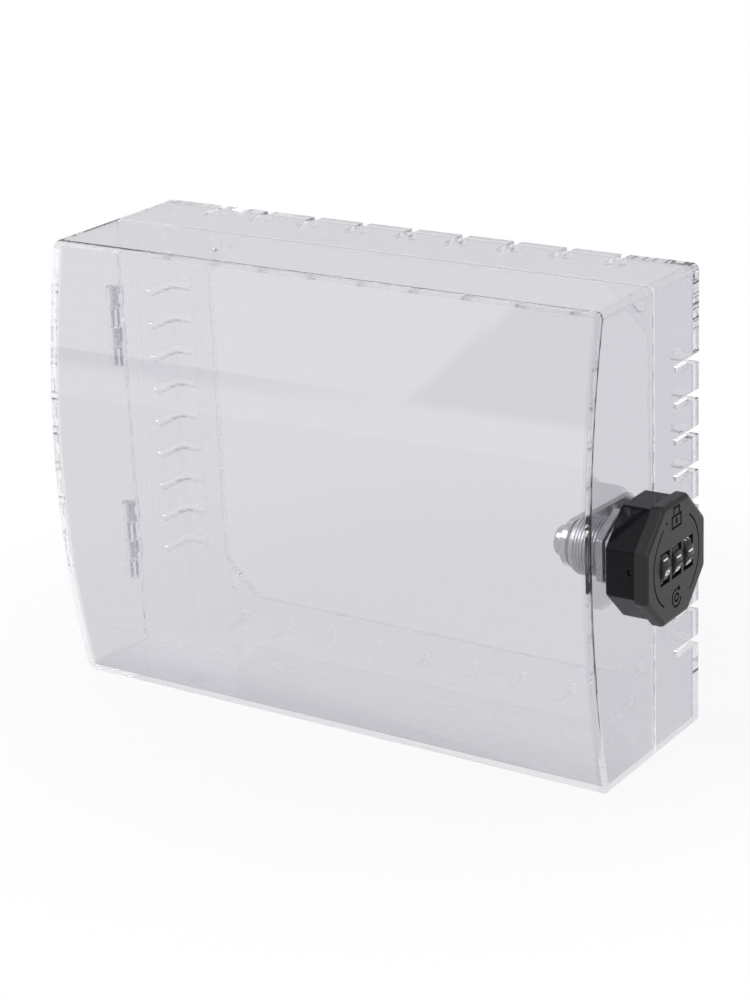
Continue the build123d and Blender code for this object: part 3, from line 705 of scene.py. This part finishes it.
class LOCKBOX_OT_base_frame(Operator):
    """Build the clear wall frame with its opening, vents, screw holes, keeper and knuckles"""

    bl_idname = "lockbox.base_frame"
    bl_label = "Base Frame"

    def execute(self, context):
        s, vent, hinge = sizes().box, sizes().vents, sizes().hinge
        seam = -s.seam + s.seam_gap / 2
        half_x, half_z = COVER_HIGH.x, COVER_HIGH.z
        shell = box_block(0.0, 0.0, seam)
        combined(shell, box_block(s.wall, -s.flange, seam - s.wall), "DIFFERENCE")
        opening = bmesh.new()
        wide, tall = half_x - s.flange_side, half_z - s.flange_end
        add_block(opening, (-wide, -2 * s.flange, -tall), (wide, s.flange, tall))
        round_edges(opening, edges_along(opening, 1), s.opening_cut, 1)
        round_edges(opening, edges_along(opening, 1), s.opening_round * 0.414, 4)
        combined(shell, opening, "DIFFERENCE")
        cuts = bmesh.new()
        for side in (1, -1):
            for index in range(vent.count):
                step = index - (vent.count - 1) / 2
                place = Matrix.Translation((step * vent.end_pitch, 0, side * (half_z + s.wall)))
                add_slot(cuts, vent.width, 2 * vent.end_run, place, (0, 0, -side * (vent.end_reach + s.wall)))
                place = Matrix.Translation((side * (half_x + s.wall), 0, step * vent.side_pitch)) @ ALONG_LOCK
                add_slot(cuts, vent.width, 2 * vent.side_run, place, (-side * (vent.side_reach + s.wall), 0, 0))
            for up in (1, -1):
                place = (side * s.screws_across / 2, s.flange, up * s.screws_up / 2)
                place = Matrix.Translation(place) @ ALONG_DEPTH
                add_disc(cuts, s.screw_hole, 32, place, (0, -3 * s.flange, 0))
        combined(shell, cuts, "DIFFERENCE")
        keeper = bmesh.new()
        right, near = half_x - s.wall, -s.seam + hinge.keeper_front
        low = (right - hinge.keeper_reach, near, -hinge.keeper_height / 2)
        high = (right + hinge.bite, near + hinge.keeper_thickness, hinge.keeper_height / 2)
        add_block(keeper, low, high)
        combined(shell, keeper, "UNION")
        add_knuckles(shell, 0, 1)
        piece = soften(make_piece(shell, "wall_frame", "polished_clear"), s.softening)
        seat(piece, "base", "clear_plastic", "base_frame")
        return {"FINISHED"}


class LOCKBOX_OT_hinge_pins(Operator):
    """Build the two hinge pins"""

    bl_idname = "lockbox.hinge_pins"
    bl_label = "Hinge Pins"

    def execute(self, context):
        for name in ("hinge_pin_upper", "hinge_pin_lower"):
            low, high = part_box(name)
            middle, radius = (low + high) / 2, (high.x - low.x) / 2
            bm = bmesh.new()
            place = Matrix.Translation((middle.x, middle.y, low.z))
            add_disc(bm, radius, 40, place, (0, 0, high.z - low.z))
            piece = soften(make_piece(bm, name + "_turned", "bright_steel"), radius / 4)
            seat(piece, "base", "steel", name)
        return {"FINISHED"}


class LOCKBOX_OT_barrel(Operator):
    """Build the zinc barrel with its hex and thread, and the nut inside the cover"""

    bl_idname = "lockbox.barrel"
    bl_label = "Barrel and Nut"

    def execute(self, context):
        lock = sizes().lock
        wall_x = COVER_HIGH.x
        hexagon = bmesh.new()
        add_prism(hexagon, lock.hex_across, 6, wall_x, BARREL_HIGH.x)
        outward(hexagon)
        front = [e for e in hexagon.edges if all(v.co.x > BARREL_HIGH.x - 1e-6 for v in e.verts)]
        round_edges(hexagon, front, lock.hex_edge, 3)
        core = lock.sleeve - lock.depth
        sleeve = bmesh.new()
        start, end = BARREL_LOW.x, BARREL_HIGH.x
        tip = start + lock.depth
        profile = [(end, lock.bore), (start, lock.bore), (start, core - lock.depth), (tip, core), (end, core)]
        add_turned(sleeve, profile)
        bore = bmesh.new()
        add_bar(bore, lock.bore, start - lock.pitch, end + lock.pitch, segments=64)
        combined(hexagon, bore, "DIFFERENCE")
        combined(hexagon, sleeve, "UNION")
        turns = int((wall_x - tip) / lock.pitch)
        ridge = bmesh.new()
        low, crest = core - lock.depth / 4, lock.sleeve
        top = lock.pitch / 8
        corners = [(0, low), (lock.pitch * 0.96, low), (lock.pitch / 2 + top, crest), (lock.pitch / 2 - top, crest)]
        verts = [ridge.verts.new((tip + x, 0, -r)) for x, r in corners]
        face = ridge.faces.new(verts)
        steps = 48 * (turns - 1)
        bmesh.ops.spin(
            ridge, geom=verts + list(face.edges) + [face], cent=(0, 0, 0), axis=(1, 0, 0),
            dvec=(lock.pitch / 48, 0, 0), angle=2 * pi * (turns - 1), steps=steps,
        )
        outward(ridge)
        for part in (hexagon, ridge):
            for vert in part.verts:
                if vert.co.x < wall_x - 1e-6:
                    vert.co.z = max(vert.co.z, -lock.sleeve_flat)
        joined = bpy.data.meshes.new("ridge")
        ridge.to_mesh(joined)
        ridge.free()
        hexagon.from_mesh(joined)
        bpy.data.meshes.remove(joined)
        piece = make_piece(to_lock(hexagon), "barrel", "zinc_cast", 40)
        seat(soften(piece, 0.0001, 1, 60), "cover", "zinc_plate", "lock_barrel")
        nut = bmesh.new()
        add_prism(nut, lock.hex_across, 6, NUT_LOW.x, NUT_HIGH.x)
        hole = bmesh.new()
        add_bar(hole, lock.sleeve + 0.00005, NUT_LOW.x - 0.001, NUT_HIGH.x + 0.001, segments=64)
        combined(nut, hole, "DIFFERENCE")
        piece = soften(make_piece(to_lock(nut), "clamp_nut", "zinc_bright"), 0.0004)
        seat(piece, "cover", "zinc_plate", "lock_nut")
        return {"FINISHED"}


class LOCKBOX_OT_cam(Operator):
    """Build the bent zinc cam with its washers and screw"""

    bl_idname = "lockbox.cam"
    bl_label = "Cam"

    def execute(self, context):
        lock = sizes().lock
        back, front = CAM_LOW.x, CAM_LOW.x + lock.cam_thickness
        reach = CAM_HIGH.y - lock.axis_y
        plate = bmesh.new()
        side = lock.cam_tip - lock.cam_corner
        for x in (back, front):
            add_ring(plate, lock.cam_hub, x)
            for level in (side, -side):
                add_ring(plate, lock.cam_corner, x, (reach - lock.cam_corner, level))
        bmesh.ops.convex_hull(plate, input=list(plate.verts))
        bmesh.ops.delete(plate, geom=[e for e in plate.edges if not e.link_faces], context="EDGES")
        bmesh.ops.delete(plate, geom=[v for v in plate.verts if not v.link_faces], context="VERTS")
        bmesh.ops.dissolve_limit(plate, angle_limit=radians(1), verts=plate.verts, edges=plate.edges)
        tip = bmesh.new()
        add_block(tip, (back, reach - lock.cam_thickness, -side), (CAM_HIGH.x, reach, side))
        combined(plate, tip, "UNION")
        piece = soften(make_piece(to_lock(plate), "cam_hook", "zinc_bright"), 0.0004, 3)
        seat(piece, "lock", "zinc_plate", "cam")
        for node, radius in (("cam_flat_washer", lock.flat_washer), ("cam_spring_washer", lock.spring_washer)):
            low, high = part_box(node)
            bore = radius * 0.42
            ring = bmesh.new()
            gap = 0.18 if node == "cam_spring_washer" else 0.0
            profile = [(low.x, bore), (high.x, bore), (high.x, radius), (low.x, radius)]
            add_turned(ring, profile, 2 * pi - gap)
            bmesh.ops.rotate(ring, verts=ring.verts, cent=(0, 0, 0), matrix=Matrix.Rotation(-pi / 2, 3, "X"))
            piece = soften(make_piece(to_lock(ring), node + "_ring", "zinc_bright"), 0.0001)
            seat(piece, "lock", "zinc_plate", node)
        low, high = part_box("cam_screw")
        shank = 0.002
        seat_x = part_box("cam_spring_washer")[0].x
        dome = (seat_x - low.x) / 2
        profile = [(high.x, 0), (high.x, shank), (seat_x, shank), (seat_x, lock.screw_head)]
        for step in range(7):
            angle = step / 6 * pi / 2
            profile.append((low.x + dome * (1 - sin(angle)), lock.screw_head - dome * (1 - cos(angle))))
        profile.append((low.x, 0))
        screw = bmesh.new()
        add_turned(screw, profile)
        half, slot = lock.screw_head / 2, lock.screw_slot / 2
        for wide, tall in ((half, slot), (slot, half)):
            bar = bmesh.new()
            add_block(bar, (low.x - dome, -wide, -tall), (low.x + dome, wide, tall))
            combined(screw, bar, "DIFFERENCE")
        piece = soften(make_piece(to_lock(screw), "cam_screw_turned", "zinc_bright"), 0.00012)
        seat(piece, "lock", "zinc_plate", "cam_screw")
        return {"FINISHED"}


class LOCKBOX_OT_knob_body(Operator):
    """Build the glossy octagonal cup of the knob with its reset hole"""

    bl_idname = "lockbox.knob_body"
    bl_label = "Knob Body"

    def execute(self, context):
        knob = sizes().knob
        cup = bmesh.new()
        add_prism(cup, knob.body_across, 8, BODY_LOW.x, BODY_HIGH.x)
        outward(cup)
        round_edges(cup, edges_along(cup, 0), knob.body_edge * 0.414, 4)
        back = [e for e in cup.edges if all(v.co.x < BODY_LOW.x + 1e-6 for v in e.verts)]
        round_edges(cup, back, knob.body_back, 2)
        hollow = bmesh.new()
        across = knob.body_across - 2 * knob.body_wall
        add_prism(hollow, across, 8, BODY_LOW.x + knob.body_floor, BODY_HIGH.x + knob.body_wall)
        combined(cup, hollow, "DIFFERENCE")
        hole = bmesh.new()
        place = (BODY_LOW.x + knob.reset_x, -knob.body_across, knob.reset_z)
        place = Matrix.Translation(place) @ ALONG_DEPTH
        add_disc(hole, knob.reset_hole, 32, place, (0, knob.body_across * 0.75, 0))
        combined(cup, hole, "DIFFERENCE")
        piece = soften(make_piece(to_lock(cup), "knob_cup", "glossy_black"), 0.00025)
        seat(piece, "lock", "knob_gloss", "knob_body")
        return {"FINISHED"}


class LOCKBOX_OT_knob_face(Operator):
    """Build the satin face of the knob with its windows and engraved symbols"""

    bl_idname = "lockbox.knob_face"
    bl_label = "Knob Face"

    def execute(self, context):
        knob = sizes().knob
        front = FACE_HIGH.x
        plate = bmesh.new()
        add_prism(plate, knob.face_across, 8, FACE_LOW.x, front)
        outward(plate)
        round_edges(plate, edges_along(plate, 0), knob.face_corner * 0.414, 5)
        rim = [e for e in plate.edges if all(v.co.x > front - 1e-6 for v in e.verts)]
        round_edges(plate, rim, knob.face_edge, 5)
        rim = [e for e in plate.edges if all(v.co.x < FACE_LOW.x + 1e-6 for v in e.verts)]
        round_edges(plate, rim, knob.face_back, 2)
        pocket = bmesh.new()
        half = knob.dial_pitch * 1.5
        tall = WHEEL_HIGH.z + 0.0007
        add_block(pocket, (FACE_LOW.x - knob.skin, -half, -tall), (front - knob.skin, half, tall))
        combined(plate, pocket, "DIFFERENCE")
        windows = bmesh.new()
        for step in (-1, 0, 1):
            middle = step * knob.dial_pitch
            wide, tall = knob.window_width / 2, knob.window_height / 2
            low = (front - 2 * knob.skin, middle - wide, -tall)
            add_block(windows, low, (front + knob.skin, middle + wide, tall))
        outward(windows)
        round_edges(windows, edges_along(windows, 0), knob.window_corner, 4)
        combined(plate, windows, "DIFFERENCE")
        for cutter in engraved_marks():
            combined(plate, cutter, "DIFFERENCE")
        piece = make_piece(to_lock(plate), "knob_plate", "satin_charcoal")
        for edge in piece.data.edges:
            if all(piece.data.vertices[index].co.x > front - 1e-6 for index in edge.vertices):
                edge.use_edge_sharp = True
        soften(piece, 0.00008)
        seat(piece, "lock", "knob_satin", "knob_face")
        return {"FINISHED"}


def engraved_marks():
    """Cutters for the marks on the knob's face: two curved lines, a padlock, a turn arrow and a dot."""
    knob = sizes().knob
    front, line = FACE_HIGH.x, knob.line
    floor, lift = front - knob.groove_depth, front + line
    cutters = []

    def bar(low, high):
        cutter = bmesh.new()
        add_block(cutter, (floor, *low), (lift, *high))
        cutters.append(cutter)

    def arc(radius, start, sweep, middle, width):
        cutter = bmesh.new()
        add_arc(cutter, radius, width, start, sweep, lift, lift - floor, middle)
        cutters.append(cutter)

    def spot(radius, middle, corners, turn=0.0):
        cutter = bmesh.new()
        add_bar(cutter, radius, floor, lift, segments=corners)
        bmesh.ops.rotate(cutter, verts=cutter.verts, cent=(0, 0, 0), matrix=Matrix.Rotation(turn, 3, "X"))
        bmesh.ops.translate(cutter, verts=cutter.verts, vec=(0, *middle))
        cutters.append(cutter)

    for side in (0, pi):
        arc(knob.ring, side - knob.ring_half, 2 * knob.ring_half, (0, 0), knob.groove)
    half, low, high = knob.lock_wide / 2, knob.lock_level - knob.lock_tall / 2, knob.lock_level + knob.lock_tall / 2
    for level in (low, high - line):
        bar((-half, level), (half, level + line))
    for side in (-half, half - line):
        bar((side, low + line / 2), (side + line, high - line / 2))
    half, top = knob.shackle_wide / 2, high + knob.shackle_tall
    bar((-half, top - line), (half, top))
    for side in (-half, half - line):
        bar((side, high - line / 2), (side + line, top - line / 2))
    half, tall = knob.keyhole_wide / 2, knob.keyhole_tall / 2
    bar((-half, knob.lock_level - tall), (half, knob.lock_level + tall))
    middle = Vector((0, knob.arrow_level))
    arc(knob.arrow_ring, knob.arrow_start, knob.arrow_sweep, middle, line)
    arc(knob.arrow_hub - line / 2, 0, 2 * pi - 0.02, middle, line)
    tip = middle + knob.arrow_ring * Vector((cos(knob.arrow_start), sin(knob.arrow_start)))
    spot(knob.arrow_head, tip, 3, knob.arrow_start - pi / 2)
    spot(knob.dot, (knob.dot_y, knob.dot_z), 24)
    return cutters


def add_digit(bm, digit, turned, middle_y, drum):
    """Wrap one digit round a dial's drum, its top to the front of the box, facing away from the axis."""
    knob = sizes().knob
    text = bpy.data.curves.new("digit", "FONT")
    text.body = str(digit)
    text.size = knob.digit / 0.7
    text.align_x = "CENTER"
    text.align_y = "CENTER"
    text.offset = knob.digit * 0.04
    work = bpy.data.objects.new("digit", text)
    bpy.context.scene.collection.objects.link(work)
    glyph = bpy.data.meshes.new_from_object(work)
    shape = bmesh.new()
    shape.from_mesh(glyph)
    bpy.data.meshes.remove(glyph)
    bpy.data.curves.remove(text)
    bmesh.ops.remove_doubles(shape, verts=shape.verts, dist=1e-7)
    for step in range(-6, 7):
        geom = list(shape.verts) + list(shape.edges) + list(shape.faces)
        level = (step * knob.digit / 12, 0, 0)
        bmesh.ops.bisect_plane(shape, geom=geom, dist=1e-7, plane_co=level, plane_no=(1, 0, 0))
    made = bmesh.ops.extrude_face_region(shape, geom=list(shape.faces))
    for item in made["geom"]:
        if isinstance(item, bmesh.types.BMVert):
            item.co.z = knob.digit_rise * 2
    base = turned + 2 * pi * digit / 10
    centre = (WHEEL_LOW.x + WHEEL_HIGH.x) / 2
    for vert in shape.verts:
        angle = base + vert.co.x / drum
        radius = drum + vert.co.z - knob.digit_rise
        vert.co = (centre + radius * cos(angle), middle_y - vert.co.y, radius * sin(angle))
    outward(shape)
    for face in shape.faces:
        face.material_index = 1
    mesh = bpy.data.meshes.new("digit")
    shape.to_mesh(mesh)
    shape.free()
    bm.from_mesh(mesh)
    bpy.data.meshes.remove(mesh)


class LOCKBOX_OT_dials(Operator):
    """Build the three dial wheels with their digits"""

    bl_idname = "lockbox.dials"
    bl_label = "Dials"

    def execute(self, context):
        knob = sizes().knob
        centre, drum = (WHEEL_LOW.x + WHEEL_HIGH.x) / 2, WHEEL_HIGH.z
        for index in (1, 2, 3):
            low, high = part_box(f"dial_wheel_{index}")
            turned = knob.dial_turns[index - 1]
            wheel = bmesh.new()
            place = Matrix.Translation((centre, low.y, 0)) @ ALONG_DEPTH
            made = bmesh.ops.create_circle(wheel, cap_ends=True, segments=120, radius=drum, matrix=place)
            for vert in made["verts"]:
                around = Vector((vert.co.x - centre, vert.co.z))
                step = (around.angle_signed(Vector((1, 0))) - turned) * 10 / (2 * pi) + 0.5
                near = abs(step - round(step)) * 10
                depth = knob.dial_notch * max(0.0, 1 - near**2)
                around *= (drum - depth) / drum
                vert.co.x, vert.co.z = centre + around.x, around.y
            draw_out(wheel, made["verts"], (0, high.y - low.y, 0))
            outward(wheel)
            rims = [e for e in wheel.edges if abs(e.verts[0].co.y - e.verts[1].co.y) < 1e-6]
            round_edges(wheel, rims, knob.dial_edge, 2)
            for digit in range(10):
                add_digit(wheel, digit, turned, (low.y + high.y) / 2, drum)
            piece = make_piece(wheel, f"digit_wheel_{index}", "dial_plastic")
            piece.data.materials.append(finish("digit_white"))
            seat(piece, f"dial_{index}", "dial_black", f"dial_wheel_{index}")
        return {"FINISHED"}


class LOCKBOX_OT_inner_parts(Operator):
    """Give the parts inside the lock, which stay as built, their finishes"""

    bl_idname = "lockbox.inner_parts"
    bl_label = "Inner Parts"

    def execute(self, context):
        finishes = {
            "spindle": "zinc_bright", "stop_pin": "bright_steel", "face_screws": "bright_steel",
            "dial_axle": "bright_steel", "latch_bar": "bright_steel", "latch_springs": "bright_steel",
            "detent_spring": "bright_steel", "reset_pin": "glossy_black", "code_ring_1": "turned_brass",
            "code_ring_2": "turned_brass", "code_ring_3": "turned_brass",
        }
        for node, name in finishes.items():
            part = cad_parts[node]
            part.data.materials.clear()
            part.data.materials.append(finish(name))
        return {"FINISHED"}


def studio_world():
    """White background for the camera and through glass, a room with a dark card in reflections, dim light."""
    studio = sizes().studio
    world = bpy.data.worlds.new("studio")
    bpy.context.scene.world = world
    world.use_nodes = True
    tree = world.node_tree
    tree.nodes.clear()
    place = tree.nodes.new("ShaderNodeTexCoord")
    axes = tree.nodes.new("ShaderNodeSeparateXYZ")
    tree.links.new(place.outputs["Generated"], axes.inputs["Vector"])
    x, y, z = axes.outputs
    level = studio.horizon
    below = maths(tree, "MULTIPLY", between(tree, z, level - 0.05, level - 0.01), between(tree, z, level + 0.003, level))
    band = maths(tree, "MULTIPLY", below, between(tree, x, -0.50, -0.62))
    slant = maths(tree, "MULTIPLY_ADD", z, -0.131, x)
    card = maths(tree, "MULTIPLY", between(tree, slant, -0.517, -0.507), between(tree, slant, -0.33, -0.38))
    card = maths(tree, "MULTIPLY", card, between(tree, z, level - 0.02, level + 0.01))
    card = maths(tree, "MULTIPLY", card, between(tree, z, 0.32, 0.26))
    dark = maths(tree, "MAXIMUM", band, card)
    front = maths(tree, "MULTIPLY_ADD", dark, -0.92 * studio.room, studio.room)
    behind = between(tree, y, 0.0, 0.5)
    rest = maths(tree, "SUBTRACT", 1.0, behind)
    room = maths(tree, "MULTIPLY_ADD", behind, studio.behind, maths(tree, "MULTIPLY", front, rest))
    path = tree.nodes.new("ShaderNodeLightPath")
    light = tree.nodes.new("ShaderNodeMix")
    light.inputs["A"].default_value = studio.dim
    tree.links.new(path.outputs["Is Glossy Ray"], light.inputs["Factor"])
    tree.links.new(room, light.inputs["B"])
    seen = maths(tree, "MAXIMUM", path.outputs["Is Camera Ray"], path.outputs["Is Transmission Ray"])
    strength = tree.nodes.new("ShaderNodeMix")
    strength.inputs["B"].default_value = 1.0
    tree.links.new(seen, strength.inputs["Factor"])
    tree.links.new(light.outputs["Result"], strength.inputs["A"])
    background = tree.nodes.new("ShaderNodeBackground")
    background.inputs["Color"].default_value = (1, 1, 1, 1)
    tree.links.new(strength.outputs["Result"], background.inputs["Strength"])
    output = tree.nodes.new("ShaderNodeOutputWorld")
    tree.links.new(background.outputs["Background"], output.inputs["Surface"])


def table_material():
    """Pale table that takes the box's shadow and fades to the white background."""
    studio = sizes().studio
    material, tree, output = new_nodes("table_white")
    place = tree.nodes.new("ShaderNodeTexCoord")
    distance = tree.nodes.new("ShaderNodeVectorMath")
    distance.operation = "LENGTH"
    tree.links.new(place.outputs["Object"], distance.inputs[0])
    fade = between(tree, distance.outputs["Value"], 0.10, 0.24)
    fade = maths(tree, "MULTIPLY_ADD", fade, 1 - studio.glow, studio.glow)
    path = tree.nodes.new("ShaderNodeLightPath")
    seen = maths(tree, "MAXIMUM", path.outputs["Is Camera Ray"], path.outputs["Is Transmission Ray"])
    seen = maths(tree, "MAXIMUM", seen, path.outputs["Is Glossy Ray"])
    pale = tree.nodes.new("ShaderNodeBsdfDiffuse")
    pale.inputs["Color"].default_value = (*studio.floor_colour, 1)
    white = tree.nodes.new("ShaderNodeEmission")
    mix = tree.nodes.new("ShaderNodeMixShader")
    tree.links.new(maths(tree, "MULTIPLY", fade, seen), mix.inputs["Fac"])
    tree.links.new(pale.outputs["BSDF"], mix.inputs[1])
    tree.links.new(white.outputs["Emission"], mix.inputs[2])
    tree.links.new(mix.outputs["Shader"], output.inputs["Surface"])
    return material


def add_softbox(name, place, aim, wide, tall, power):
    """A rectangular lamp at a place, turned to its aim."""
    lamp = bpy.data.lights.new(name, "AREA")
    lamp.shape = "RECTANGLE"
    lamp.size, lamp.size_y = wide, tall
    lamp.energy = power
    light = bpy.data.objects.new(name, lamp)
    light.location = place
    light.rotation_euler = (Vector(aim) - Vector(place)).to_track_quat("-Z", "Y").to_euler()
    bpy.context.scene.collection.objects.link(light)
    return light


class LOCKBOX_OT_studio(Operator):
    """Set up the table, the lamps, the white background and the camera"""

    bl_idname = "lockbox.studio"
    bl_label = "Studio"

    def execute(self, context):
        scene, studio = context.scene, sizes().studio
        bm = bmesh.new()
        bmesh.ops.create_circle(bm, cap_ends=True, segments=128, radius=studio.table)
        bmesh.ops.translate(bm, verts=bm.verts, vec=(0, 0, FRAME_LOW.z))
        mesh = bpy.data.meshes.new("table")
        bm.to_mesh(mesh)
        bm.free()
        mesh.materials.append(table_material())
        table = bpy.data.objects.new("table", mesh)
        scene.collection.objects.link(table)
        studio_world()
        key = add_softbox("key", (-0.55, -0.75, 0.95), (0, 0, 0), 0.6, 0.6, 7.0)
        key.visible_glossy = False
        add_softbox("side", (0.95, -0.35, 0.45), (0, 0, 0), 0.25, 0.6, 2.5)
        turn = Matrix.Rotation(studio.azimuth, 3, "Z")
        back = turn @ Vector((0, -cos(studio.elevation), sin(studio.elevation)))
        right = Vector((0, 0, 1)).cross(back).normalized()
        up = back.cross(right)
        side = cos(studio.roll) * right + sin(studio.roll) * up
        top = cos(studio.roll) * up - sin(studio.roll) * right
        lens = bpy.data.cameras.new("camera")
        lens.sensor_fit = "AUTO"
        lens.sensor_width = 36.0
        lens.lens = studio.lens
        camera = bpy.data.objects.new("camera", lens)
        place = Matrix((side, top, back)).transposed().to_4x4()
        place.translation = Vector(studio.aim) + back * studio.distance
        camera.matrix_world = place
        scene.collection.objects.link(camera)
        scene.camera = camera
        scene.view_settings.view_transform = "Standard"
        scene.cycles.max_bounces = 32
        scene.cycles.glossy_bounces = 24
        scene.cycles.transmission_bounces = 32
        return {"FINISHED"}


class LockBoxSettings(PropertyGroup):
    """Everything that a user may change."""

    box: PointerProperty(type=ClearBoxSizes)
    vents: PointerProperty(type=VentSizes)
    hinge: PointerProperty(type=HingeSizes)
    lock: PointerProperty(type=LockSizes)
    knob: PointerProperty(type=KnobSizes)
    finishes: PointerProperty(type=FinishColours)
    studio: PointerProperty(type=StudioSettings)


OPERATORS = (
    LOCKBOX_OT_studio,
    LOCKBOX_OT_front_cover,
    LOCKBOX_OT_base_frame,
    LOCKBOX_OT_hinge_pins,
    LOCKBOX_OT_barrel,
    LOCKBOX_OT_cam,
    LOCKBOX_OT_knob_body,
    LOCKBOX_OT_knob_face,
    LOCKBOX_OT_dials,
    LOCKBOX_OT_inner_parts,
)


class LOCKBOX_PT_tools(Panel):
    """Buttons that build the lock box piece by piece"""

    bl_label = "Lock Box"
    bl_space_type = "VIEW_3D"
    bl_region_type = "UI"
    bl_category = "Lock Box"

    def draw(self, context):
        for operator in OPERATORS:
            self.layout.operator(operator.bl_idname)


GROUPS = (
    ClearBoxSizes, VentSizes, HingeSizes, LockSizes, KnobSizes, FinishColours, StudioSettings, LockBoxSettings,
)


def register():
    """Make the groups, the operators and the panel known."""
    for group in GROUPS + OPERATORS + (LOCKBOX_PT_tools,):
        bpy.utils.register_class(group)
    bpy.types.Scene.lock_box = PointerProperty(type=LockBoxSettings)


def unregister():
    """Take the groups, the operators and the panel away."""
    del bpy.types.Scene.lock_box
    for group in reversed(GROUPS + OPERATORS + (LOCKBOX_PT_tools,)):
        bpy.utils.unregister_class(group)


def main():
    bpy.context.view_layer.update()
    register()
    for operator in OPERATORS:
        family, name = operator.bl_idname.split(".")
        getattr(getattr(bpy.ops, family), name)()


if __name__ == "__main__":
    main()
